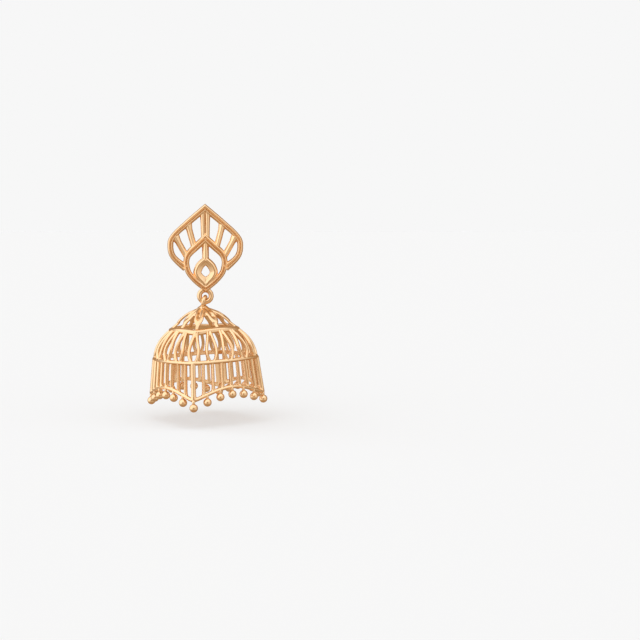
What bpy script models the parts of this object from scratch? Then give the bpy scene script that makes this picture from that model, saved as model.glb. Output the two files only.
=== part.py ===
"""A gold jhumka earring: a pierced stud with a soldered ring, and an openwork bell that swings on the ring.

Z is up and the front of the stud faces -Y. The origin is where the ear post leaves the back of the stud.
"""

import math

import bmesh
import bpy
from mathutils import Matrix, Vector

MM = 0.001

# The stud's front view. Its back lies in the plane Y = 0 and its ridges stand out towards -Y
STUD_HALF_WIDTH = 7.29 * MM
STUD_APEX = 6.80 * MM
STUD_TIP = 10.10 * MM
FRAME_WIDTH = 1.25 * MM
FRAME_DEPTH = 1.15 * MM
OGEE_HALF_WIDTH = 4.00 * MM
OGEE_APEX = 0.54 * MM
OGEE_WIDTH = 1.24 * MM
OGEE_DEPTH = 1.35 * MM
RAY_WIDTH = 1.32 * MM
CENTRE_RAY_WIDTH = 1.80 * MM
RAY_DEPTH = 0.95 * MM
RAY_SET_BACK = 0.12 * MM
FLAME_TOP = 4.10 * MM
FLAME_HALF_WIDTH = 1.66 * MM
FLAME_WIDTH = 1.58 * MM
FLAME_DEPTH = 1.20 * MM
STEM_WIDTH = 1.45 * MM

# The ear post, a plain pin behind the ogee's point
POST_RADIUS = 0.42 * MM
POST_LENGTH = 10.0 * MM
POST_TIP = 0.6 * MM
POST_SIDES = 10

# The ring soldered behind the stud's tip, and the bail that hangs on it
RING_RADIUS = 1.24 * MM
RING_WIRE = 0.53 * MM
RING_DROP = 11.63 * MM
RING_BACK = 0.25 * MM
RING_ASIDE = 0.10 * MM
BAIL_WIRE = 0.38 * MM
BAIL_GAP = 0.20 * MM
LINK_SIDES = 14
LINK_WIRE_SIDES = 6

# The bell. Its plan is a square with rounded sides. Radii are from the axis to a corner, depths go down from
# the apex, and a bulge is a share of the radius
ROOF_RADIUS = 6.00 * MM
ROOF_DEPTH = 4.00 * MM
EAVE_RADIUS = 7.35 * MM
EAVE_DEPTH = 4.65 * MM
EAVE_ARCH = 0.30 * MM
EAVE_SLOPE = math.radians(31.5)
WAIST_RADIUS = 11.20 * MM
WAIST_DEPTH = 10.68 * MM
HEM_RADIUS = 12.15 * MM
HEM_DEPTH = 18.10 * MM
SCALLOP = 2.05 * MM
ROOF_BULGE_SHARE = 0.14
HEM_BULGE_SHARE = 0.11
DOME_POWER = 2.25
ARCH_POWER = 1.35
BELL_TURN = math.radians(-12.9)
BELL_LEAN = math.radians(2.0)
APEX_DROP = 2.27 * MM
APEX_OFFSET = 0.566 * MM

# The bell's wires: width along the wall, depth across it, and how far they stand out of the wall's line
EAVE_WIRE = (1.15 * MM, 0.85 * MM, 0.35 * MM)
WAIST_WIRE = (0.82 * MM, 0.85 * MM, 0.34 * MM)
HEM_WIRE = (0.74 * MM, 0.80 * MM, 0.32 * MM)
LEAF_WIRE = (0.60 * MM, 0.75 * MM, 0.24 * MM)
BAR_WIRE = (0.62 * MM, 0.80 * MM, 0.25 * MM)
CORNER_WIRE = (0.88 * MM, 0.85 * MM, 0.33 * MM)
BAR_FLARE_RATIO = 1.7
RIB_DEPTH = 0.52 * MM
RIB_WIDTH = 0.75 * MM
RIB_PAD = 2.00 * MM
CAP_RADIUS = 3.70 * MM
CAP_HEIGHT = 0.85 * MM
CAP_SIDES = 16

LEAVES_PER_FACE = 4
# Half of a leaf's width at its top and at its widest, in shares of the distance between leaves
LEAF_TOP_SHARE = 0.10
LEAF_REACH_SHARE = 0.28
LEAF_DROP_POWER = 1.4
LEAF_STEPS = 7
BARS_PER_FACE = 8
BEADS_PER_FACE = 6
BEAD_RADIUS = 0.88 * MM
BEAD_DROP = 1.55 * MM
BEAD_SIDES = 10
BEAD_RINGS = 6
PEG_RADIUS = 0.30 * MM
PEG_SIDES = 6

# Half outlines from apex to foot. Columns: share of the half width, share of the height, share of the wire's
# width
FRAME_OUTLINE = [
    (0.000, 1.000, 1.15),
    (0.353, 0.686, 1.10),
    (0.598, 0.458, 1.05),
    (0.765, 0.303, 1.00),
    (0.912, 0.129, 1.00),
    (0.985, -0.010, 1.00),
    (1.000, -0.152, 1.00),
    (0.985, -0.330, 1.00),
    (0.925, -0.485, 1.00),
    (0.815, -0.620, 1.05),
    (0.676, -0.746, 1.20),
    (0.570, -0.850, 1.20),
]
OGEE_OUTLINE = [
    (0.000, 0.000, 1.26),
    (0.484, 0.170, 1.26),
    (0.776, 0.270, 1.20),
    (0.940, 0.360, 1.05),
    (1.000, 0.455, 1.00),
    (0.990, 0.538, 1.00),
    (0.900, 0.665, 0.96),
    (0.688, 0.779, 0.94),
    (0.400, 0.886, 0.94),
    (0.000, 1.000, 1.00),
]
FLAME_OUTLINE = [
    (0.00, 0.00, 1.00),
    (0.67, 0.20, 1.08),
    (1.01, 0.42, 1.07),
    (1.00, 0.54, 1.05),
    (0.74, 0.69, 1.10),
    (0.27, 0.85, 1.30),
    (0.00, 0.97, 1.30),
]
# Rays on each side. Columns: share of the half width at the top, height at the top in shares of the apex,
# share of the half width at the foot, height at the foot
RAYS = [(0.498, 0.505, 0.326, -0.185), (0.850, 0.110, 0.545, -0.480)]
# Widths along a ray and along the centre ray from top to foot, in shares of the named widths
RAY_FLARE = (1.35, 1.0, 0.95)
CENTRE_FLARE = (1.2, 1.1, 1.0)
# The roof's line over a corner. Columns: share of its radius, share of its depth
ROOF_LINE = [
    (0.00, 0.00),
    (0.30, 0.13),
    (0.45, 0.23),
    (0.63, 0.38),
    (0.74, 0.50),
    (0.87, 0.68),
    (0.94, 0.82),
    (1.00, 1.00),
]
# A roof rib from the cap to the eave. Columns: share of the way down, share of the step from rib to pad width
RIB_PLAN = [(0.06, 0.5), (0.25, 1.0), (0.42, 1.0), (0.56, 0.95), (0.70, 0.6), (0.84, 0.15), (1.00, 0.0)]
# The cap's line over a corner, from its inside to its tip. Columns: share of its radius, share of its height
CAP_LINE = [
    (0.00, -0.55),
    (0.90, -1.95),
    (1.00, -1.85),
    (0.70, -1.05),
    (0.46, -0.55),
    (0.37, -0.20),
    (0.225, 0.34),
    (0.135, 0.56),
    (0.00, 0.64),
]
# Sections of the wires. Columns: share of the width, share of the depth. The ridge faces outwards
RIDGE = [(-0.5, 0.0), (0.5, 0.0), (0.5, 0.45), (0.0, 1.0), (-0.5, 0.45)]
BELL_RIDGE = [(-0.5, 0.0), (0.5, 0.0), (0.5, 0.62), (0.0, 1.0), (-0.5, 0.62)]
FLAME_RIDGE = [(-0.5, 0.0), (0.5, 0.0), (0.5, 0.50), (0.12, 1.0), (-0.5, 0.35)]

GOLD = (0.86, 0.58, 0.30, 1.0)
GOLD_ROUGHNESS = 0.22
FRONT = Vector((0.0, -1.0, 0.0))


def gold_material(name):
    material = bpy.data.materials.new(name)
    material.use_nodes = True
    shader = material.node_tree.nodes["Principled BSDF"]
    shader.inputs["Base Color"].default_value = GOLD
    shader.inputs["Metallic"].default_value = 1.0
    shader.inputs["Roughness"].default_value = GOLD_ROUGHNESS
    return material


def mesh_object(name, points, faces):
    mesh = bpy.data.meshes.new(name)
    mesh.from_pydata([tuple(p) for p in points], [], faces)
    shape = bmesh.new()
    shape.from_mesh(mesh)
    bmesh.ops.recalc_face_normals(shape, faces=shape.faces)
    shape.to_mesh(mesh)
    shape.free()
    return bpy.data.objects.new(name, mesh)


def wire(name, path, outwards, widths, depth, section=RIDGE, closed=False):
    """A solid wire along a path, with mitred corners. Its flat back lies on the path."""
    count = len(path)
    rings = []
    for i, (point, normal, width) in enumerate(zip(path, outwards, widths)):
        before = path[i - 1] if closed or i else point
        after = path[(i + 1) % count] if closed or i < count - 1 else point
        arriving = (point - before).normalized() if before != point else (after - point).normalized()
        leaving = (after - point).normalized() if after != point else arriving
        along = (arriving + leaving).normalized()
        mitre = 1.0 / max(along.dot(leaving), 0.45)
        aside = along.cross(normal).normalized()
        out = aside.cross(along).normalized()
        rings.append([point + aside * a * width * mitre + out * b * depth for a, b in section])
    sides = len(section)
    faces = []
    for i in range(count if closed else count - 1):
        here, there = i * sides, (i + 1) % count * sides
        for j in range(sides):
            k = (j + 1) % sides
            faces.append((here + j, here + k, there + k, there + j))
    if not closed:
        faces.append(tuple(reversed(range(sides))))
        faces.append(tuple((count - 1) * sides + j for j in range(sides)))
    return mesh_object(name, [p for ring in rings for p in ring], faces)


def circle(radius, height, sides):
    turns = [2 * math.pi * j / sides for j in range(sides)]
    return [Vector((radius * math.cos(turn), radius * math.sin(turn), height)) for turn in turns]


def rounded_square(radius, height, sides):
    """A ring with the plan of the bell, its corners at the radius."""
    return [on_bell(4 * j / sides, radius, -height) for j in range(sides)]


def lathe(name, profile, sides, place=Matrix(), ring=circle):
    """A solid of rings round Z from (radius, height) pairs, first and last on the axis."""
    points = [Vector((0.0, 0.0, profile[0][1]))]
    for radius, height in profile[1:-1]:
        points += ring(radius, height, sides)
    points.append(Vector((0.0, 0.0, profile[-1][1])))
    last = len(points) - 1
    rows = len(profile) - 2
    faces = []
    for j in range(sides):
        k = (j + 1) % sides
        faces.append((0, 1 + j, 1 + k))
        faces.append((last, last - sides + k, last - sides + j))
        for row in range(rows - 1):
            here, there = 1 + row * sides, 1 + (row + 1) * sides
            faces.append((here + k, here + j, there + j, there + k))
    return mesh_object(name, [place @ p for p in points], faces)


def link(name, centre, along, across, radius, wire_radius):
    """A round link in the plane of along and across."""
    axis = along.cross(across).normalized()
    points = []
    for i in range(LINK_SIDES):
        turn = 2 * math.pi * i / LINK_SIDES
        spoke = along * math.cos(turn) + across * math.sin(turn)
        for j in range(LINK_WIRE_SIDES):
            tube = 2 * math.pi * j / LINK_WIRE_SIDES
            aside = axis * wire_radius * math.sin(tube)
            points.append(centre + spoke * (radius + wire_radius * math.cos(tube)) + aside)
    faces = []
    for i in range(LINK_SIDES):
        here, there = i * LINK_WIRE_SIDES, (i + 1) % LINK_SIDES * LINK_WIRE_SIDES
        for j in range(LINK_WIRE_SIDES):
            k = (j + 1) % LINK_WIRE_SIDES
            faces.append((here + j, there + j, there + k, here + k))
    return mesh_object(name, points, faces)


def fuse(name, pieces):
    """One closed body out of overlapping pieces. The first carries the union and the rest are operands."""
    whole = pieces[0]
    whole.name = name
    whole.data.materials.append(gold_material(name + "_gold"))
    bpy.context.scene.collection.objects.link(whole)
    others = bpy.data.collections.new(name + "_pieces")
    bpy.context.scene.collection.children.link(others)
    others.hide_render = True
    for piece in pieces[1:]:
        others.objects.link(piece)
        piece.parent = whole
        piece.hide_render = True
        piece.display_type = "WIRE"
    union = whole.modifiers.new("fuse", "BOOLEAN")
    union.operation = "UNION"
    union.operand_type = "COLLECTION"
    union.collection = others
    union.solver = "EXACT"
    return whole


def mirrored_loop(half):
    """A closed loop from its left half, apex to foot."""
    return half + [Vector((-p.x, p.y, p.z)) for p in reversed(half[1:-1])]


def half_outline(outline, half_width, top, height, width):
    """The left half of an outline and its wire's widths, apex to foot."""
    path = [Vector((-x * half_width, 0, top - z * height)) for x, z, _ in outline]
    return path, [share * width for _, _, share in outline]


def flat_wire(name, path, widths, depth, section=RIDGE, closed=False, set_back=0.0):
    """A wire of the stud, its back in the plane Y = 0 or set back from it."""
    path = [p + FRONT * set_back for p in path]
    return wire(name, path, [FRONT] * len(path), widths, depth, section, closed)


def stud_pieces():
    frame, frame_widths = half_outline(FRAME_OUTLINE, STUD_HALF_WIDTH, 0.0, -STUD_APEX, FRAME_WIDTH)
    crown = list(reversed([Vector((-p.x, 0, p.z)) for p in frame[1:]])) + frame
    crown_widths = list(reversed(frame_widths[1:])) + frame_widths
    ogee_height = OGEE_APEX + STUD_TIP
    ogee, ogee_widths = half_outline(OGEE_OUTLINE, OGEE_HALF_WIDTH, OGEE_APEX, ogee_height, OGEE_WIDTH)
    ogee_widths += reversed(ogee_widths[1:-1])
    flame_height = STUD_TIP - FLAME_TOP - FLAME_WIDTH / 2
    flame, flame_widths = half_outline(FLAME_OUTLINE, FLAME_HALF_WIDTH, -FLAME_TOP, flame_height, FLAME_WIDTH)
    flame_right = [Vector((-p.x, p.y, p.z)) for p in reversed(flame)]
    back = RAY_SET_BACK / 2
    pieces = [
        flat_wire("ogee", mirrored_loop(ogee), ogee_widths, OGEE_DEPTH, closed=True),
        flat_wire("crown", crown, crown_widths, FRAME_DEPTH),
        flat_wire("flame_left", flame, flame_widths, FLAME_DEPTH, FLAME_RIDGE, set_back=back),
        flat_wire("flame_right", flame_right, flame_widths[::-1], FLAME_DEPTH, FLAME_RIDGE, set_back=back),
    ]
    stem = [Vector((0, 0, OGEE_APEX)), Vector((0, 0, -FLAME_TOP))]
    pieces.append(flat_wire("stem", stem, [STEM_WIDTH] * 2, RAY_DEPTH, set_back=RAY_SET_BACK))
    heights = (STUD_APEX - FRAME_WIDTH / 3, (STUD_APEX + OGEE_APEX) / 2, OGEE_APEX)
    centre = [Vector((0, 0, z)) for z in heights]
    widths = [CENTRE_RAY_WIDTH * flare for flare in CENTRE_FLARE]
    pieces.append(flat_wire("centre_ray", centre, widths, RAY_DEPTH, set_back=RAY_SET_BACK))
    widths = [RAY_WIDTH * flare for flare in RAY_FLARE]
    for side in (-1, 1):
        for number, (x_top, z_top, x_foot, z_foot) in enumerate(RAYS):
            top = Vector((side * x_top * STUD_HALF_WIDTH, 0, z_top * STUD_APEX))
            foot = Vector((side * x_foot * STUD_HALF_WIDTH, 0, z_foot * STUD_APEX))
            path = [top, top.lerp(foot, 0.25), foot]
            pieces.append(flat_wire(f"ray_{number}_{side}", path, widths, RAY_DEPTH, set_back=RAY_SET_BACK))
    root = -OGEE_DEPTH / 2
    shoulder = (POST_RADIUS, POST_LENGTH - POST_TIP)
    pin = [(0, root), (POST_RADIUS, root), shoulder, (POST_RADIUS / 2, POST_LENGTH), (0, POST_LENGTH)]
    pieces.append(lathe("post", pin, POST_SIDES, Matrix.Rotation(-math.pi / 2, 4, "X")))
    up, right = Vector((0, 0, 1)), Vector((1, 0, 0))
    pieces.append(link("ring", ring_centre(), up, right, RING_RADIUS, RING_WIRE))
    return pieces


def ring_centre():
    return Vector((-RING_ASIDE, RING_BACK, -RING_DROP))


def bail_pivot():
    """The middle of the bail's wire where it lies in the ring."""
    lowest = RING_RADIUS - RING_WIRE - BAIL_WIRE - BAIL_GAP
    return ring_centre() - Vector((0, 0, lowest))


def roof_point(share):
    """(corner radius, depth) of the roof at a share of its depth."""
    for (r0, d0), (r1, d1) in zip(ROOF_LINE, ROOF_LINE[1:]):
        if share <= d1:
            t = (share - d0) / (d1 - d0)
            return (r0 + (r1 - r0) * t) * ROOF_RADIUS, share * ROOF_DEPTH
    return ROOF_RADIUS, ROOF_DEPTH


def dome_point(share):
    spread = 1.0 - (1.0 - share) ** DOME_POWER
    return EAVE_RADIUS + (WAIST_RADIUS - EAVE_RADIUS) * spread, EAVE_DEPTH + (WAIST_DEPTH - EAVE_DEPTH) * share


def wall_point(share):
    return WAIST_RADIUS + (HEM_RADIUS - WAIST_RADIUS) * share, WAIST_DEPTH + (HEM_DEPTH - WAIST_DEPTH) * share


def across_face(turn):
    """How near a place round the bell is to the middle of its face: 0 at a corner, 1 in the middle."""
    t = turn % 1.0
    return 4.0 * t * (1.0 - t)


def on_bell(turn, radius, depth, lift=0.0, bulge=ROOF_BULGE_SHARE):
    """A point of the bell's wall. turn counts quarter turns from the front corner, to the right."""
    face, t = divmod(turn, 1.0)
    first, last = face * math.pi / 2, (face + 1) * math.pi / 2
    a = Vector((math.sin(first), -math.cos(first), 0))
    b = Vector((math.sin(last), -math.cos(last), 0))
    middle = (a + b).normalized()
    flat = (a.lerp(b, t) + middle * bulge * across_face(turn)) * radius
    return flat + Vector((0, 0, lift * across_face(turn) ** ARCH_POWER - depth))


def outward(turn, slope=0.0):
    """The wall's outward direction, tipped up by slope."""
    angle = turn * math.pi / 2
    return Vector((math.sin(angle) * math.cos(slope), -math.cos(angle) * math.cos(slope), math.sin(slope)))


def band(name, radius, depth, lift, size, steps, bulge=ROOF_BULGE_SHARE, slope=0.0):
    width, thick, stand = size
    turns = [i / steps for i in range(4 * steps)]
    path = [on_bell(t, radius, depth, lift, bulge) for t in turns]
    path = [p - outward(t, slope) * (thick - stand) for p, t in zip(path, turns)]
    outs = [outward(t, slope) for t in turns]
    return wire(name, path, outs, [width] * len(path), thick, BELL_RIDGE, closed=True)


def rib(name, turn):
    """A roof rib that swells to a leaf half way down and then runs over the eave."""
    path, widths = [], []
    for share, pad in RIB_PLAN:
        radius, depth = roof_point(share) if share < 1.0 else (EAVE_RADIUS, EAVE_DEPTH)
        path.append(on_bell(turn, radius, depth))
        widths.append(RIB_WIDTH + (RIB_PAD - RIB_WIDTH) * pad)
    slope = math.atan2(ROOF_RADIUS, ROOF_DEPTH)
    outs = [outward(turn, slope)] * len(path)
    path = [p - o * RIB_DEPTH / 2 for p, o in zip(path, outs)]
    return wire(name, path, outs, widths, RIB_DEPTH)


def leaf_side(name, turn, side):
    """One side of a pointed oval between the eave and the waist."""
    width, thick, stand = LEAF_WIRE
    reach = LEAF_REACH_SHARE / LEAVES_PER_FACE
    foot = LEAF_TOP_SHARE / LEAVES_PER_FACE
    path, outs = [], []
    for i in range(LEAF_STEPS + 1):
        share = i / LEAF_STEPS
        radius, depth = dome_point(share)
        place = turn + side * (foot + (reach - foot) * math.sin(math.pi * share ** LEAF_DROP_POWER))
        slope = math.atan2(WAIST_RADIUS - EAVE_RADIUS, WAIST_DEPTH - EAVE_DEPTH) * (1.4 - share)
        lift = EAVE_ARCH * (1.0 - share)
        out = outward(place, slope)
        path.append(on_bell(place, radius, depth, lift) - out * (thick - stand))
        outs.append(out)
    return wire(name, path, outs, [width] * len(path), thick, BELL_RIDGE)


def bar(name, turn, size):
    """An upright of the wall, from the waist to the hem, with a flared foot."""
    width, thick, stand = size
    top = on_bell(turn, *wall_point(0.0))
    foot = on_bell(turn, *wall_point(1.0), SCALLOP, HEM_BULGE_SHARE)
    out = outward(turn)
    path = [top.lerp(foot, share) - out * (thick - stand) for share in (0.0, 0.86, 1.0)]
    return wire(name, path, [out] * 3, [width, width, width * BAR_FLARE_RATIO], thick, BELL_RIDGE)


def bead(name, turn):
    centre = on_bell(turn, HEM_RADIUS, HEM_DEPTH, SCALLOP, HEM_BULGE_SHARE) - Vector((0, 0, BEAD_DROP))
    profile = [(0.0, -BEAD_RADIUS)]
    for i in range(1, BEAD_RINGS):
        angle = math.pi * i / BEAD_RINGS
        profile.append((BEAD_RADIUS * math.sin(angle), -BEAD_RADIUS * math.cos(angle)))
    profile.append((0.0, BEAD_RADIUS))
    return lathe(name, profile, BEAD_SIDES, Matrix.Translation(centre))


def peg(name, turn):
    """The short pin between the hem and a bead."""
    hem = on_bell(turn, HEM_RADIUS, HEM_DEPTH, SCALLOP, HEM_BULGE_SHARE)
    low = -BEAD_DROP + BEAD_RADIUS / 2
    high = HEM_WIRE[0] / 4
    profile = [(0.0, low), (PEG_RADIUS, low), (PEG_RADIUS, high), (0.0, high)]
    return lathe(name, profile, PEG_SIDES, Matrix.Translation(hem))


def bell_pieces():
    pieces = [band("waist", WAIST_RADIUS, WAIST_DEPTH, 0.0, WAIST_WIRE, 6)]
    pieces.append(band("eave", EAVE_RADIUS, EAVE_DEPTH, EAVE_ARCH, EAVE_WIRE, 6, slope=EAVE_SLOPE))
    pieces.append(band("hem", HEM_RADIUS, HEM_DEPTH, SCALLOP, HEM_WIRE, 8, HEM_BULGE_SHARE))
    cap = [(radius * CAP_RADIUS, height * CAP_HEIGHT) for radius, height in CAP_LINE]
    pieces.append(lathe("cap", cap, CAP_SIDES, ring=rounded_square))
    for i in range(8):
        pieces.append(rib(f"rib_{i}", i / 2))
    for i in range(4 * LEAVES_PER_FACE):
        for side in (-1, 1):
            pieces.append(leaf_side(f"leaf_{i}_{side}", i / LEAVES_PER_FACE, side))
    for i in range(4 * BARS_PER_FACE):
        size = BAR_WIRE if i % BARS_PER_FACE else CORNER_WIRE
        pieces.append(bar(f"bar_{i}", i / BARS_PER_FACE, size))
    for i in range(4 * BEADS_PER_FACE):
        pieces.append(bead(f"bead_{i}", i / BEADS_PER_FACE))
        pieces.append(peg(f"peg_{i}", i / BEADS_PER_FACE))
    top = Vector((APEX_OFFSET, 0, APEX_DROP))
    radius = RING_WIRE + BAIL_WIRE + BAIL_GAP
    down = -top.normalized()
    pieces.append(link("bail", top + down * radius, down, Vector((0, 1, 0)), radius, BAIL_WIRE))
    return pieces


def build():
    for obj in list(bpy.data.objects):
        bpy.data.objects.remove(obj)
    fuse("stud", stud_pieces())
    bell = fuse("bell", bell_pieces())
    swing = bpy.data.objects.new("bell_pivot", None)
    bpy.context.scene.collection.objects.link(swing)
    swing.location = bail_pivot()
    swing.rotation_euler = (0.0, -BELL_LEAN, BELL_TURN)
    bell.parent = swing
    bell.location = (-APEX_OFFSET, 0.0, -APEX_DROP)


build()
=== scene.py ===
"""The looks of a gold jhumka earring: polished wires, round grains, a pale floor and soft studio light."""

import math

import bmesh
import bpy
from mathutils import Matrix, Vector


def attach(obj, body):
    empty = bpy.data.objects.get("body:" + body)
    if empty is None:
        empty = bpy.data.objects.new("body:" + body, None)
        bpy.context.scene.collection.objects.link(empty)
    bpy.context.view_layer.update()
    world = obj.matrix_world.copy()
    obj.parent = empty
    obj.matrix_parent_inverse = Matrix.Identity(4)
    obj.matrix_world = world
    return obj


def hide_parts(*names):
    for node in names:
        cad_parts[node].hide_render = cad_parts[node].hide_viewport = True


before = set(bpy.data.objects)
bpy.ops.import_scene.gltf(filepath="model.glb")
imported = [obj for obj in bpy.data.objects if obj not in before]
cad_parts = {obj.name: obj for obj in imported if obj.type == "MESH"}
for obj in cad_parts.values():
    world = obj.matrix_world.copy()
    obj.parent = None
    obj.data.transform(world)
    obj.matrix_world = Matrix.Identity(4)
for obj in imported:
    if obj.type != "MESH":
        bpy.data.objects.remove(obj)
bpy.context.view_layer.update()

MM = 0.001

# The photograph's frame and how it maps to the object
PHOTO_SIDE = 640
PIXELS_PER_MM = 4.73
ORIGIN_PIXEL = (205.6, 240.0)
EYE_LEVEL_PIXEL = 219.0
CAMERA_DISTANCE = 253.7 * MM
SENSOR = 36.0
CAMERA_CLIP = 10.0 * MM
FLOOR_DROP = 38.0 * MM
FLOOR_HALF = 4.0

# The pale backdrop that the camera sees, and the tent that the gold mirrors: pale, with warm dim gaps.
# Columns: axis of a zone, cosine where it starts, cosine where it is full, its light
BACKDROP = (0.93, 0.93, 0.93, 1.0)
HORIZON_LIGHT = (0.93, 0.87, 0.79, 1.0)
LIGHT_ZONES = [
    ((0, 0, 1), 0.20, 0.80, (1.35, 1.34, 1.32, 1.0)),
    ((0, 0, -1), 0.15, 0.75, (0.52, 0.38, 0.24, 1.0)),
    ((0.35, 0.94, 0), 0.15, 0.65, (0.46, 0.31, 0.18, 1.0)),
    ((-0.85, -0.20, 0.45), 0.55, 0.85, (1.45, 1.43, 1.40, 1.0)),
    ((0, -1, 0.05), 0.88, 0.96, (0.52, 0.38, 0.25, 1.0)),
]

# Gold: its colour, how far it drifts, its roughness, and its fine polishing marks
GOLD_TINT = (0.90, 0.63, 0.38)
GOLD_DRIFT = (0.93, 1.05)
GOLD_DRIFT_PLACES = (0.3, 0.7)
GOLD_DRIFT_SCALE = 220.0
GOLD_DRIFT_DETAIL = 3.0
GOLD_ROUGHNESS = 0.13
GOLD_ROUGHNESS_SPREAD = (0.7, 1.4)
MARK_SCALE = 2600.0
MARK_DETAIL = 2.0
MARK_STRENGTH = 0.12
MARK_DEPTH = 0.03 * MM

# The floor shines a little itself, so that the shadow on it stays as pale as in the photograph
FLOOR_TINT = (0.521, 0.547, 0.578, 1.0)
FLOOR_SHINE = (1.0, 1.0, 1.0, 1.0)
FLOOR_SHINE_STRENGTH = 0.362
FLOOR_ROUGHNESS = 0.9

# The sizes from here to the pegs are those of the solids, which have fewer sides. Only the round grains are a
# little smaller than the faceted ones.

# The stud
STUD_HALF_WIDTH = 7.29 * MM
STUD_APEX = 6.80 * MM
STUD_TIP = 10.10 * MM
FRAME_WIDTH = 1.25 * MM
FRAME_DEPTH = 1.15 * MM
OGEE_HALF_WIDTH = 4.00 * MM
OGEE_APEX = 0.54 * MM
OGEE_WIDTH = 1.24 * MM
OGEE_DEPTH = 1.35 * MM
RAY_WIDTH = 1.32 * MM
CENTRE_RAY_WIDTH = 1.80 * MM
RAY_DEPTH = 0.95 * MM
RAY_SET_BACK = 0.12 * MM
RAY_KNEE = 0.25
FLAME_TOP = 4.10 * MM
FLAME_HALF_WIDTH = 1.66 * MM
FLAME_WIDTH = 1.58 * MM
FLAME_DEPTH = 1.20 * MM
STEM_WIDTH = 1.45 * MM
POST_RADIUS = 0.42 * MM
POST_LENGTH = 10.0 * MM
POST_TIP = 0.6 * MM
POST_SIDES = 32

# The ring and the bail
RING_RADIUS = 1.24 * MM
RING_WIRE = 0.53 * MM
RING_DROP = 11.63 * MM
RING_BACK = 0.25 * MM
RING_ASIDE = 0.10 * MM
BAIL_WIRE = 0.38 * MM
BAIL_GAP = 0.20 * MM
LINK_SIDES = 48
LINK_WIRE_SIDES = 16

# The bell
ROOF_RADIUS = 6.00 * MM
ROOF_DEPTH = 4.00 * MM
EAVE_RADIUS = 7.35 * MM
EAVE_DEPTH = 4.65 * MM
EAVE_ARCH = 0.30 * MM
EAVE_SLOPE = math.radians(31.5)
WAIST_RADIUS = 11.20 * MM
WAIST_DEPTH = 10.68 * MM
HEM_RADIUS = 12.15 * MM
HEM_DEPTH = 18.10 * MM
SCALLOP = 2.05 * MM
ROOF_BULGE_SHARE = 0.14
HEM_BULGE_SHARE = 0.11
DOME_POWER = 2.25
ARCH_POWER = 1.35
BELL_TURN = math.radians(-12.9)
BELL_LEAN = math.radians(2.0)
APEX_DROP = 2.27 * MM
APEX_OFFSET = 0.566 * MM
# The bell's wires: width along the wall, depth across it, and how far they stand out of the wall's line
EAVE_WIRE = (1.15 * MM, 0.85 * MM, 0.35 * MM)
WAIST_WIRE = (0.82 * MM, 0.85 * MM, 0.34 * MM)
HEM_WIRE = (0.74 * MM, 0.80 * MM, 0.32 * MM)
LEAF_WIRE = (0.60 * MM, 0.75 * MM, 0.24 * MM)
BAR_WIRE = (0.62 * MM, 0.80 * MM, 0.25 * MM)
CORNER_WIRE = (0.88 * MM, 0.85 * MM, 0.33 * MM)
# A bar's width grows towards its foot. Columns: share of the way down, share of its width
BAR_FLARE = [(0.0, 1.0), (0.5, 1.0), (0.86, 1.0), (0.94, 2.7 / 2.2), (1.0, 1.7)]
RIB_DEPTH = 0.52 * MM
RIB_WIDTH = 0.75 * MM
RIB_PAD = 2.00 * MM
CAP_RADIUS = 3.70 * MM
CAP_HEIGHT = 0.85 * MM
CAP_SIDES = 32
RIBS_PER_FACE = 2
LEAVES_PER_FACE = 4
LEAF_TOP_SHARE = 0.10
LEAF_REACH_SHARE = 0.28
LEAF_DROP_POWER = 1.4
# An oval leans by the dome's mean slope times this at its top, and times one less at its foot
LEAF_TILT = 1.4
BARS_PER_FACE = 8
BEADS_PER_FACE = 6
BEAD_RADIUS = 0.855 * MM
BEAD_DROP = 1.55 * MM
BEAD_SIDES = 32
BEAD_RINGS = 20
PEG_RADIUS = 0.30 * MM
PEG_SIDES = 16

# Forms that only the looks have: the centre ray's pointed top and the solder at the flame's foot, by length
CENTRE_TIP = 1.35 * MM
FLAME_FOOT = 1.30 * MM
# A rib's hollow: half its width in shares of the rib's width, and its floor's height in shares of the depth
HOLLOW_HALF = 0.3
HOLLOW_FLOOR = 0.15

# How finely the visible wires are shaped, and the grids that they are melted together on
PATH_STEPS = 4
BAND_STEPS = 28
LEAF_STEPS = 20
# The stud's grid is finer, because its wires have a groove
STUD_GRID = 0.052 * MM
STUD_ROUNDS = 5
BELL_GRID = 0.08 * MM
BELL_ROUNDS = 3
# The melting takes this much off the width of the bell's wires, so it is added to them before
MELT_LOSS = 0.06 * MM
POLISH = 0.5
# A melted mesh with more triangles is thinned to this many
MOST_TRIANGLES = 175000
# Cosine of half the sharpest turn that is mitred in full
MITRE_LIMIT = 0.45

# Half outlines from apex to foot. Columns: shares of the half width, of the height and of the wire's width
FRAME_OUTLINE = [
    (0.000, 1.000, 1.15),
    (0.353, 0.686, 1.10),
    (0.598, 0.458, 1.05),
    (0.765, 0.303, 1.00),
    (0.912, 0.129, 1.00),
    (0.985, -0.010, 1.00),
    (1.000, -0.152, 1.00),
    (0.985, -0.330, 1.00),
    (0.925, -0.485, 1.00),
    (0.815, -0.620, 1.05),
    (0.676, -0.746, 1.20),
    (0.570, -0.850, 1.20),
]
OGEE_OUTLINE = [
    (0.000, 0.000, 1.26),
    (0.484, 0.170, 1.26),
    (0.776, 0.270, 1.20),
    (0.940, 0.360, 1.05),
    (1.000, 0.455, 1.00),
    (0.990, 0.538, 1.00),
    (0.900, 0.665, 0.96),
    (0.688, 0.779, 0.94),
    (0.400, 0.886, 0.94),
    (0.000, 1.000, 1.00),
]
FLAME_OUTLINE = [
    (0.00, 0.00, 1.00),
    (0.67, 0.20, 1.08),
    (1.01, 0.42, 1.07),
    (1.00, 0.54, 1.05),
    (0.74, 0.69, 1.10),
    (0.27, 0.85, 1.30),
    (0.00, 0.97, 1.30),
]
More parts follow.
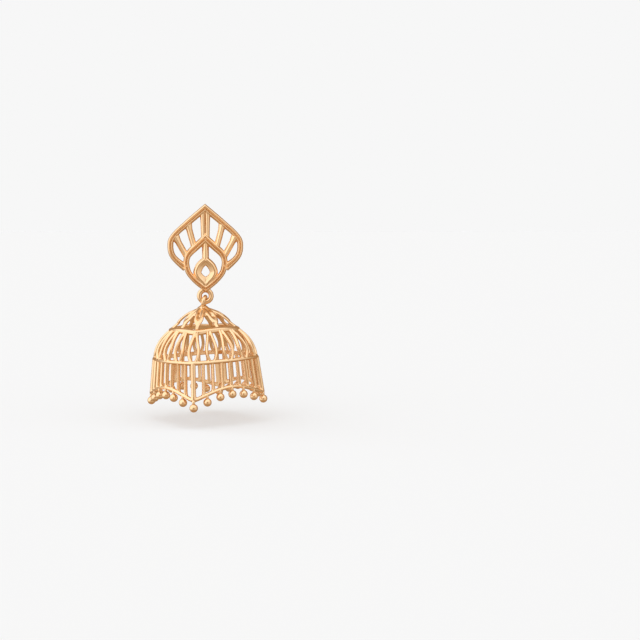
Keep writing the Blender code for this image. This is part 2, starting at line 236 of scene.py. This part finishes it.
# Rays on each side. Columns: share of the half width at the top, height at the top in shares of the apex,
# share of the half width at the foot, height at the foot
RAYS = [(0.498, 0.505, 0.326, -0.185), (0.850, 0.110, 0.545, -0.480)]
# Widths along a ray and along the centre ray from top to foot, in shares of the named widths
RAY_FLARE = (1.35, 1.0, 0.95)
CENTRE_FLARE = (1.2, 1.1, 1.0)
# The roof's line over a corner. Columns: share of its radius, share of its depth
ROOF_LINE = [
    (0.00, 0.00),
    (0.30, 0.13),
    (0.45, 0.23),
    (0.63, 0.38),
    (0.74, 0.50),
    (0.87, 0.68),
    (0.94, 0.82),
    (1.00, 1.00),
]
# A roof rib from the cap to the eave. Columns: share of the way down, share of the step from rib to pad width
RIB_PLAN = [(0.06, 0.5), (0.25, 1.0), (0.42, 1.0), (0.56, 0.95), (0.70, 0.6), (0.84, 0.15), (1.00, 0.0)]
# How deep the rib's hollow is at the same places
RIB_HOLLOW = [0.0, 0.8, 1.0, 0.3, 0.0, 0.0, 0.0]
# The cap's line over a corner, from its inside to its tip. Columns: share of its radius, share of its height
CAP_LINE = [
    (0.00, -0.55),
    (0.90, -1.95),
    (1.00, -1.85),
    (0.70, -1.05),
    (0.46, -0.55),
    (0.37, -0.20),
    (0.225, 0.34),
    (0.135, 0.56),
    (0.00, 0.64),
]

FRONT = Vector((0.0, -1.0, 0.0))
UP = Vector((0.0, 0.0, 1.0))


def both_sides(half, middle):
    """A wire's section from the half of it that runs from its back to its middle."""
    return half + [(0.0, middle)] + [(-x, y) for x, y in reversed(half)]


# Sections of the wires. Columns: share of the width, share of the depth
RIDGE = both_sides(
    [(0.36, 0.0), (0.46, 0.07), (0.50, 0.20), (0.49, 0.42), (0.40, 0.62), (0.26, 0.80), (0.12, 0.94)],
    1.0,
)
BELL_RIDGE = both_sides(
    [(0.38, 0.0), (0.47, 0.05), (0.50, 0.14), (0.50, 0.56), (0.41, 0.72), (0.26, 0.86), (0.12, 0.96)],
    1.0,
)
RIB_SECTION = both_sides(
    [
        (0.40, 0.00),
        (0.48, 0.10),
        (0.50, 0.30),
        (0.45, 0.62),
        (0.36, 0.82),
        (0.27, 0.92),
        (0.18, 0.97),
        (0.09, 1.00),
    ],
    1.0,
)
# The crown, the ogee and the centre ray have a fine groove along the middle
SPLIT = both_sides(
    [
        (0.36, 0.00),
        (0.46, 0.07),
        (0.50, 0.20),
        (0.49, 0.48),
        (0.42, 0.74),
        (0.31, 0.93),
        (0.19, 0.99),
        (0.09, 0.84),
    ],
    0.62,
)
# The flame's wire falls off more gently towards its opening
FLAME_RIDGE = [
    (-0.44, 0.00),
    (0.44, 0.00),
    (0.50, 0.10),
    (0.50, 0.45),
    (0.36, 0.82),
    (0.20, 0.98),
    (0.04, 0.98),
    (-0.16, 0.82),
    (-0.42, 0.68),
    (-0.50, 0.50),
    (-0.50, 0.08),
]


def solid(points, faces):
    """A closed mesh as a bmesh, its faces outwards."""
    shape = bmesh.new()
    made = [shape.verts.new(p) for p in points]
    for face in faces:
        shape.faces.new([made[i] for i in face])
    bmesh.ops.recalc_face_normals(shape, faces=shape.faces)
    return shape


def wire(path, outwards, widths, depth, sections, closed=False):
    """A solid wire with mitred corners, its flat back on the path. It has one section all along, or a list of
    one for each point."""
    count = len(path)
    points = []
    if isinstance(sections[0][0], float):
        sections = [sections] * count
    sides = len(sections[0])
    for i, (point, normal, width, section) in enumerate(zip(path, outwards, widths, sections)):
        before = path[i - 1] if closed or i else point
        after = path[(i + 1) % count] if closed or i < count - 1 else point
        arriving = (point - before).normalized() if before != point else (after - point).normalized()
        leaving = (after - point).normalized() if after != point else arriving
        along = (arriving + leaving).normalized()
        mitre = 1.0 / max(along.dot(leaving), MITRE_LIMIT)
        aside = along.cross(normal).normalized()
        out = aside.cross(along).normalized()
        points += [point + aside * a * width * mitre + out * b * depth for a, b in section]
    faces = []
    for i in range(count if closed else count - 1):
        here, there = i * sides, (i + 1) % count * sides
        for j in range(sides):
            k = (j + 1) % sides
            faces.append((here + j, here + k, there + k, there + j))
    if not closed:
        faces.append(tuple(reversed(range(sides))))
        faces.append(tuple((count - 1) * sides + j for j in range(sides)))
    return solid(points, faces)


def circle(radius, height, sides):
    turns = [2 * math.pi * j / sides for j in range(sides)]
    return [Vector((radius * math.cos(turn), radius * math.sin(turn), height)) for turn in turns]


def rounded_square(radius, height, sides):
    """A ring with the plan of the bell, its corners at the radius."""
    return [on_bell(4 * j / sides, radius, -height) for j in range(sides)]


def lathe(profile, sides, place=Matrix(), ring=circle):
    """A solid of rings round Z from (radius, height) pairs, first and last on the axis."""
    points = [Vector((0.0, 0.0, profile[0][1]))]
    for radius, height in profile[1:-1]:
        points += ring(radius, height, sides)
    points.append(Vector((0.0, 0.0, profile[-1][1])))
    last = len(points) - 1
    rows = len(profile) - 2
    faces = []
    for j in range(sides):
        k = (j + 1) % sides
        faces.append((0, 1 + j, 1 + k))
        faces.append((last, last - sides + k, last - sides + j))
        for row in range(rows - 1):
            here, there = 1 + row * sides, 1 + (row + 1) * sides
            faces.append((here + k, here + j, there + j, there + k))
    return solid([place @ p for p in points], faces)


def link(centre, along, across, radius, wire_radius):
    """A round link in the plane of along and across."""
    axis = along.cross(across).normalized()
    points = []
    for i in range(LINK_SIDES):
        turn = 2 * math.pi * i / LINK_SIDES
        spoke = along * math.cos(turn) + across * math.sin(turn)
        for j in range(LINK_WIRE_SIDES):
            tube = 2 * math.pi * j / LINK_WIRE_SIDES
            reach = radius + wire_radius * math.cos(tube)
            points.append(centre + spoke * reach + axis * wire_radius * math.sin(tube))
    faces = []
    for i in range(LINK_SIDES):
        here, there = i * LINK_WIRE_SIDES, (i + 1) % LINK_SIDES * LINK_WIRE_SIDES
        for j in range(LINK_WIRE_SIDES):
            k = (j + 1) % LINK_WIRE_SIDES
            faces.append((here + j, there + j, there + k, here + k))
    return solid(points, faces)


def smooth_path(points):
    """Points on a smooth curve through the given ones."""
    path = []
    for i in range(len(points) - 1):
        p0, p1, p2, p3 = points[max(i - 1, 0)], points[i], points[i + 1], points[min(i + 2, len(points) - 1)]
        square = 2 * p0 - 5 * p1 + 4 * p2 - p3
        cube = 3 * p1 - p0 - 3 * p2 + p3
        for step in range(PATH_STEPS):
            t = step / PATH_STEPS
            path.append((2 * p1 + (p2 - p0) * t + square * t * t + cube * t**3) / 2)
    return path + [points[-1]]


def mirrored_loop(half):
    return half + [Vector((-p.x, p.y, p.z)) for p in reversed(half[1:-1])]


def half_outline(outline, half_width, top, height, wire_width):
    """The left half of an outline, smoothed, and its wire's widths, apex to foot."""
    rows = smooth_path([Vector((-x * half_width, w * wire_width, top - z * height)) for x, z, w in outline])
    return [Vector((row.x, 0, row.z)) for row in rows], [row.y for row in rows]


def flat_wire(path, widths, depth, section=RIDGE, closed=False, set_back=0.0):
    """A wire of the stud, its back in the plane Y = 0 or set back from it."""
    path = [p + FRONT * set_back for p in path]
    return wire(path, [FRONT] * len(path), widths, depth, section, closed)


def ring_centre():
    return Vector((-RING_ASIDE, RING_BACK, -RING_DROP))


def bail_pivot():
    return ring_centre() - UP * (RING_RADIUS - RING_WIRE - BAIL_WIRE - BAIL_GAP)


def stud_solids():
    frame_half, frame_widths = half_outline(FRAME_OUTLINE, STUD_HALF_WIDTH, 0.0, -STUD_APEX, FRAME_WIDTH)
    crown = [Vector((-p.x, 0, p.z)) for p in reversed(frame_half[1:])] + frame_half
    crown_widths = frame_widths[:0:-1] + frame_widths
    ogee_height = OGEE_APEX + STUD_TIP
    ogee, ogee_widths = half_outline(OGEE_OUTLINE, OGEE_HALF_WIDTH, OGEE_APEX, ogee_height, OGEE_WIDTH)
    ogee_widths += reversed(ogee_widths[1:-1])
    flame_height = STUD_TIP - FLAME_TOP - FLAME_WIDTH / 2
    flame, flame_widths = half_outline(FLAME_OUTLINE, FLAME_HALF_WIDTH, -FLAME_TOP, flame_height, FLAME_WIDTH)
    flame_right = [Vector((-p.x, p.y, p.z)) for p in reversed(flame)]
    back = RAY_SET_BACK / 2
    made = [
        flat_wire(mirrored_loop(ogee), ogee_widths, OGEE_DEPTH, SPLIT, closed=True),
        flat_wire(crown, crown_widths, FRAME_DEPTH, SPLIT),
        flat_wire(flame, flame_widths, FLAME_DEPTH, FLAME_RIDGE, set_back=back),
        flat_wire(flame_right, flame_widths[::-1], FLAME_DEPTH, FLAME_RIDGE, set_back=back),
    ]
    foot = [Vector((0, 0, FLAME_FOOT - STUD_TIP)), Vector((0, 0, FLAME_FOOT / 2 - STUD_TIP))]
    made.append(flat_wire(foot, [FLAME_FOOT / 2] * 2, FLAME_DEPTH, set_back=back))
    stem = [Vector((0, 0, OGEE_APEX)), Vector((0, 0, -FLAME_TOP))]
    made.append(flat_wire(stem, [STEM_WIDTH] * 2, RAY_DEPTH, set_back=RAY_SET_BACK))
    heights = (STUD_APEX - FRAME_WIDTH / 3, STUD_APEX - CENTRE_TIP, (STUD_APEX + OGEE_APEX) / 2, OGEE_APEX)
    centre = [Vector((0, 0, z)) for z in heights]
    widths = [CENTRE_RAY_WIDTH / 4] + [CENTRE_RAY_WIDTH * flare for flare in CENTRE_FLARE]
    made.append(flat_wire(centre, widths, RAY_DEPTH, SPLIT, set_back=RAY_SET_BACK))
    widths = [RAY_WIDTH * flare for flare in RAY_FLARE]
    for side in (-1, 1):
        for x_top, z_top, x_foot, z_foot in RAYS:
            top = Vector((side * x_top * STUD_HALF_WIDTH, 0, z_top * STUD_APEX))
            foot = Vector((side * x_foot * STUD_HALF_WIDTH, 0, z_foot * STUD_APEX))
            path = [top, top.lerp(foot, RAY_KNEE), foot]
            made.append(flat_wire(path, widths, RAY_DEPTH, set_back=RAY_SET_BACK))
    root = -OGEE_DEPTH / 2
    shoulder = (POST_RADIUS, POST_LENGTH - POST_TIP)
    pin = [(0, root), (POST_RADIUS, root), shoulder, (POST_RADIUS / 2, POST_LENGTH), (0, POST_LENGTH)]
    made.append(lathe(pin, POST_SIDES, Matrix.Rotation(-math.pi / 2, 4, "X")))
    made.append(link(ring_centre(), UP, Vector((1, 0, 0)), RING_RADIUS, RING_WIRE))
    return made


def roof_point(share):
    for (r0, d0), (r1, d1) in zip(ROOF_LINE, ROOF_LINE[1:]):
        if share <= d1:
            t = (share - d0) / (d1 - d0)
            return (r0 + (r1 - r0) * t) * ROOF_RADIUS, share * ROOF_DEPTH
    return ROOF_RADIUS, ROOF_DEPTH


def dome_point(share):
    spread = 1.0 - (1.0 - share) ** DOME_POWER
    radius = EAVE_RADIUS + (WAIST_RADIUS - EAVE_RADIUS) * spread
    return radius, EAVE_DEPTH + (WAIST_DEPTH - EAVE_DEPTH) * share


def wall_point(share):
    return WAIST_RADIUS + (HEM_RADIUS - WAIST_RADIUS) * share, WAIST_DEPTH + (HEM_DEPTH - WAIST_DEPTH) * share


def across_face(turn):
    t = turn % 1.0
    return 4.0 * t * (1.0 - t)


def on_bell(turn, radius, depth, lift=0.0, bulge=ROOF_BULGE_SHARE):
    """A point of the bell's wall. turn counts quarter turns from the front corner, to the right."""
    face, t = divmod(turn, 1.0)
    first, last = face * math.pi / 2, (face + 1) * math.pi / 2
    a = Vector((math.sin(first), -math.cos(first), 0))
    b = Vector((math.sin(last), -math.cos(last), 0))
    flat = (a.lerp(b, t) + (a + b).normalized() * bulge * across_face(turn)) * radius
    return flat + UP * (lift * across_face(turn) ** ARCH_POWER - depth)


def outward(turn, slope=0.0):
    angle = turn * math.pi / 2
    return Vector((math.sin(angle) * math.cos(slope), -math.cos(angle) * math.cos(slope), math.sin(slope)))


def band(radius, depth, lift, size, bulge=ROOF_BULGE_SHARE, slope=0.0):
    width, thick, stand = size
    turns = [i / BAND_STEPS for i in range(4 * BAND_STEPS)]
    path = [on_bell(t, radius, depth, lift, bulge) - outward(t, slope) * (thick - stand) for t in turns]
    outs = [outward(t, slope) for t in turns]
    return wire(path, outs, [width + MELT_LOSS] * len(path), thick, BELL_RIDGE, closed=True)


def hollow_share(x):
    return max(1.0 - abs(x) / HOLLOW_HALF, 0.0)


def rib(turn):
    """A roof rib that swells to a leaf with a drop shaped hollow and then runs over the eave."""
    path, plan = [], []
    for (share, pad), hollow in zip(RIB_PLAN, RIB_HOLLOW):
        radius, depth = roof_point(share) if share < 1.0 else (EAVE_RADIUS, EAVE_DEPTH)
        path.append(on_bell(turn, radius, depth))
        plan.append(Vector((RIB_WIDTH + (RIB_PAD - RIB_WIDTH) * pad, hollow, 0)))
    slope = math.atan2(ROOF_RADIUS, ROOF_DEPTH)
    out = outward(turn, slope)
    path = smooth_path([p - out * RIB_DEPTH / 2 for p in path])
    plan = smooth_path(plan)
    sections = []
    for row in plan:
        groove = max(row.y, 0.0)
        sections.append([(x, y - (y - HOLLOW_FLOOR) * groove * hollow_share(x)) for x, y in RIB_SECTION])
    return wire(path, [out] * len(path), [row.x + MELT_LOSS for row in plan], RIB_DEPTH, sections)


def leaf_side(turn, side):
    width, thick, stand = LEAF_WIRE
    reach = LEAF_REACH_SHARE / LEAVES_PER_FACE
    foot = LEAF_TOP_SHARE / LEAVES_PER_FACE
    path, outs = [], []
    for i in range(LEAF_STEPS + 1):
        share = i / LEAF_STEPS
        radius, depth = dome_point(share)
        place = turn + side * (foot + (reach - foot) * math.sin(math.pi * share ** LEAF_DROP_POWER))
        slope = math.atan2(WAIST_RADIUS - EAVE_RADIUS, WAIST_DEPTH - EAVE_DEPTH) * (LEAF_TILT - share)
        out = outward(place, slope)
        path.append(on_bell(place, radius, depth, EAVE_ARCH * (1.0 - share)) - out * (thick - stand))
        outs.append(out)
    return wire(path, outs, [width + MELT_LOSS] * len(path), thick, BELL_RIDGE)


def bar(turn, size):
    width, thick, stand = size
    top = on_bell(turn, *wall_point(0.0))
    foot = on_bell(turn, *wall_point(1.0), SCALLOP, HEM_BULGE_SHARE)
    out = outward(turn)
    path = [top.lerp(foot, share) - out * (thick - stand) for share, _ in BAR_FLARE]
    widths = [width * flare + MELT_LOSS for _, flare in BAR_FLARE]
    return wire(path, [out] * len(path), widths, thick, BELL_RIDGE)


def grain(turn):
    """A ball on its short peg under the hem."""
    hem = on_bell(turn, HEM_RADIUS, HEM_DEPTH, SCALLOP, HEM_BULGE_SHARE)
    ball = [(0.0, -BEAD_RADIUS)]
    for i in range(1, BEAD_RINGS):
        angle = math.pi * i / BEAD_RINGS
        ball.append((BEAD_RADIUS * math.sin(angle), -BEAD_RADIUS * math.cos(angle)))
    ball.append((0.0, BEAD_RADIUS))
    low = -BEAD_DROP + BEAD_RADIUS / 2
    high = HEM_WIRE[0] / 4
    peg = [(0.0, low), (PEG_RADIUS, low), (PEG_RADIUS, high), (0.0, high)]
    return [
        lathe(ball, BEAD_SIDES, Matrix.Translation(hem - UP * BEAD_DROP)),
        lathe(peg, PEG_SIDES, Matrix.Translation(hem)),
    ]


def roof_solids():
    made = [band(EAVE_RADIUS, EAVE_DEPTH, EAVE_ARCH, EAVE_WIRE, slope=EAVE_SLOPE)]
    cap = [(radius * CAP_RADIUS, height * CAP_HEIGHT) for radius, height in CAP_LINE]
    made.append(lathe(cap, CAP_SIDES, ring=rounded_square))
    made += [rib(i / RIBS_PER_FACE) for i in range(4 * RIBS_PER_FACE)]
    top = Vector((APEX_OFFSET, 0, APEX_DROP))
    radius = RING_WIRE + BAIL_WIRE + BAIL_GAP
    down = -top.normalized()
    made.append(link(top + down * radius, down, Vector((0, 1, 0)), radius, BAIL_WIRE))
    return made


def dome_solids():
    made = [band(WAIST_RADIUS, WAIST_DEPTH, 0.0, WAIST_WIRE)]
    for i in range(4 * LEAVES_PER_FACE):
        made += [leaf_side(i / LEAVES_PER_FACE, side) for side in (-1, 1)]
    return made


def wall_solids():
    made = [band(HEM_RADIUS, HEM_DEPTH, SCALLOP, HEM_WIRE, HEM_BULGE_SHARE)]
    for i in range(4 * BARS_PER_FACE):
        made.append(bar(i / BARS_PER_FACE, BAR_WIRE if i % BARS_PER_FACE else CORNER_WIRE))
    return made


def joined(name, solids, place=Matrix()):
    """One mesh object of several solids."""
    mesh = bpy.data.meshes.new(name)
    whole = bmesh.new()
    for shape in solids:
        part = bpy.data.meshes.new("part")
        shape.to_mesh(part)
        shape.free()
        whole.from_mesh(part)
        bpy.data.meshes.remove(part)
    whole.transform(place)
    whole.to_mesh(mesh)
    whole.free()
    obj = bpy.data.objects.new(name, mesh)
    bpy.context.scene.collection.objects.link(obj)
    return obj


def melt(obj, grid, rounds):
    """Fuses overlapping solids as solder does, with a small fillet where they meet."""
    remesh = obj.modifiers.new("melt", "REMESH")
    remesh.mode = "VOXEL"
    remesh.voxel_size = grid
    smooth = obj.modifiers.new("polish", "SMOOTH")
    smooth.factor = POLISH
    smooth.iterations = rounds
    graph = bpy.context.evaluated_depsgraph_get()
    triangles = 2 * len(obj.evaluated_get(graph).data.polygons)
    if triangles > MOST_TRIANGLES:
        thin = obj.modifiers.new("thin", "DECIMATE")
        thin.ratio = MOST_TRIANGLES / triangles
        graph = bpy.context.evaluated_depsgraph_get()
    mesh = bpy.data.meshes.new_from_object(obj.evaluated_get(graph))
    obj.modifiers.clear()
    old = obj.data
    obj.data = mesh
    bpy.data.meshes.remove(old)
    return obj


def gold_material():
    """Polished gold: a slow drift of colour, and fine polishing marks in its roughness and bump."""
    material = bpy.data.materials.new("polished_gold")
    material.use_nodes = True
    tree = material.node_tree
    shader = tree.nodes["Principled BSDF"]
    shader.inputs["Metallic"].default_value = 1.0
    place = tree.nodes.new("ShaderNodeTexCoord")
    drift = tree.nodes.new("ShaderNodeTexNoise")
    drift.inputs["Scale"].default_value = GOLD_DRIFT_SCALE
    drift.inputs["Detail"].default_value = GOLD_DRIFT_DETAIL
    tree.links.new(place.outputs["Object"], drift.inputs["Vector"])
    colours = tree.nodes.new("ShaderNodeValToRGB")
    for stop, position, share in zip(colours.color_ramp.elements, GOLD_DRIFT_PLACES, GOLD_DRIFT):
        stop.position = position
        stop.color = tuple(c * share for c in GOLD_TINT) + (1.0,)
    tree.links.new(drift.outputs["Fac"], colours.inputs["Fac"])
    tree.links.new(colours.outputs["Color"], shader.inputs["Base Color"])
    marks = tree.nodes.new("ShaderNodeTexNoise")
    marks.inputs["Scale"].default_value = MARK_SCALE
    marks.inputs["Detail"].default_value = MARK_DETAIL
    tree.links.new(place.outputs["Object"], marks.inputs["Vector"])
    spread = tree.nodes.new("ShaderNodeMapRange")
    spread.inputs["To Min"].default_value = GOLD_ROUGHNESS * GOLD_ROUGHNESS_SPREAD[0]
    spread.inputs["To Max"].default_value = GOLD_ROUGHNESS * GOLD_ROUGHNESS_SPREAD[1]
    tree.links.new(marks.outputs["Fac"], spread.inputs["Value"])
    tree.links.new(spread.outputs["Result"], shader.inputs["Roughness"])
    bump = tree.nodes.new("ShaderNodeBump")
    bump.inputs["Strength"].default_value = MARK_STRENGTH
    bump.inputs["Distance"].default_value = MARK_DEPTH
    tree.links.new(marks.outputs["Fac"], bump.inputs["Height"])
    tree.links.new(bump.outputs["Normal"], shader.inputs["Normal"])
    return material


def floor_material():
    material = bpy.data.materials.new("pale_floor")
    material.use_nodes = True
    shader = material.node_tree.nodes["Principled BSDF"]
    shader.inputs["Base Color"].default_value = FLOOR_TINT
    shader.inputs["Roughness"].default_value = FLOOR_ROUGHNESS
    shader.inputs["Specular IOR Level"].default_value = 0.0
    shader.inputs["Emission Color"].default_value = FLOOR_SHINE
    shader.inputs["Emission Strength"].default_value = FLOOR_SHINE_STRENGTH
    return material


def make_earring():
    gold = gold_material()
    bell_place = (
        Matrix.Translation(bail_pivot())
        @ Matrix.Rotation(BELL_TURN, 4, "Z")
        @ Matrix.Rotation(-BELL_LEAN, 4, "Y")
        @ Matrix.Translation((-APEX_OFFSET, 0.0, -APEX_DROP))
    )
    stud = melt(joined("stud_gold", stud_solids()), STUD_GRID, STUD_ROUNDS)
    grains = [shape for i in range(4 * BEADS_PER_FACE) for shape in grain(i / BEADS_PER_FACE)]
    bell = [
        melt(joined("bell_roof", roof_solids(), bell_place), BELL_GRID, BELL_ROUNDS),
        melt(joined("bell_dome", dome_solids(), bell_place), BELL_GRID, BELL_ROUNDS),
        melt(joined("bell_wall", wall_solids(), bell_place), BELL_GRID, BELL_ROUNDS),
        joined("bell_grains", grains, bell_place),
    ]
    for obj, body in [(stud, "stud")] + [(obj, "bell") for obj in bell]:
        obj.data.shade_smooth()
        obj.data.materials.append(gold)
        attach(obj, body)
        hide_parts(body)


def make_floor():
    mesh = bpy.data.meshes.new("floor")
    signs = [(-1, -1), (1, -1), (1, 1), (-1, 1)]
    corners = [(x * FLOOR_HALF, y * FLOOR_HALF, -FLOOR_DROP) for x, y in signs]
    mesh.from_pydata(corners, [], [(0, 1, 2, 3)])
    floor = bpy.data.objects.new("floor", mesh)
    bpy.context.scene.collection.objects.link(floor)
    mesh.materials.append(floor_material())
    floor.visible_glossy = False


def mixed(tree, share, current, light):
    """A light laid over the current one by a share. The sockets numbered here are those for colours."""
    mix = tree.nodes.new("ShaderNodeMix")
    mix.data_type = "RGBA"
    factor, under, over = mix.inputs[0], mix.inputs[6], mix.inputs[7]
    tree.links.new(share, factor)
    tree.links.new(current, under)
    over.default_value = light
    return mix.outputs[2]


def zone(tree, direction, axis, start, end):
    """How far a direction of the sky lies towards an axis: 0 at start, 1 at end, both cosines."""
    toward = tree.nodes.new("ShaderNodeVectorMath")
    toward.operation = "DOT_PRODUCT"
    toward.inputs[1].default_value = Vector(axis).normalized()
    tree.links.new(direction, toward.inputs[0])
    ramp = tree.nodes.new("ShaderNodeMapRange")
    ramp.interpolation_type = "SMOOTHSTEP"
    ramp.inputs["From Min"].default_value = start
    ramp.inputs["From Max"].default_value = end
    tree.links.new(toward.outputs["Value"], ramp.inputs["Value"])
    return ramp.outputs["Result"]


def make_light():
    """A pale tent that the gold mirrors, bright above and on the left. The camera sees it plain."""
    world = bpy.data.worlds.new("white_tent")
    bpy.context.scene.world = world
    world.use_nodes = True
    tree = world.node_tree
    background = tree.nodes["Background"]
    direction = tree.nodes.new("ShaderNodeTexCoord").outputs["Generated"]
    horizon = tree.nodes.new("ShaderNodeRGB")
    horizon.outputs[0].default_value = HORIZON_LIGHT
    current = horizon.outputs[0]
    for axis, start, end, light in LIGHT_ZONES:
        current = mixed(tree, zone(tree, direction, axis, start, end), current, light)
    seen = tree.nodes.new("ShaderNodeLightPath").outputs["Is Camera Ray"]
    tree.links.new(mixed(tree, seen, current, BACKDROP), background.inputs["Color"])


def make_camera():
    """In front of the earring, turned so that the photograph's middle is in the middle of the frame."""
    middle = PHOTO_SIDE / 2
    across, down = ORIGIN_PIXEL
    eye = Vector((0.0, -CAMERA_DISTANCE, (down - EYE_LEVEL_PIXEL) / PIXELS_PER_MM * MM))
    aim = Vector(((middle - across) / PIXELS_PER_MM * MM, 0.0, (down - middle) / PIXELS_PER_MM * MM))
    data = bpy.data.cameras.new("camera")
    data.sensor_width = SENSOR
    data.lens = SENSOR * PIXELS_PER_MM * (CAMERA_DISTANCE / MM) / PHOTO_SIDE
    data.clip_start = CAMERA_CLIP
    camera = bpy.data.objects.new("camera", data)
    bpy.context.scene.collection.objects.link(camera)
    turn = (aim - eye).to_track_quat("-Z", "Y").to_matrix().to_4x4()
    camera.matrix_world = Matrix.Translation(eye) @ turn
    bpy.context.scene.camera = camera


bpy.context.scene.view_settings.view_transform = "Standard"
make_camera()
make_floor()
make_light()
make_earring()
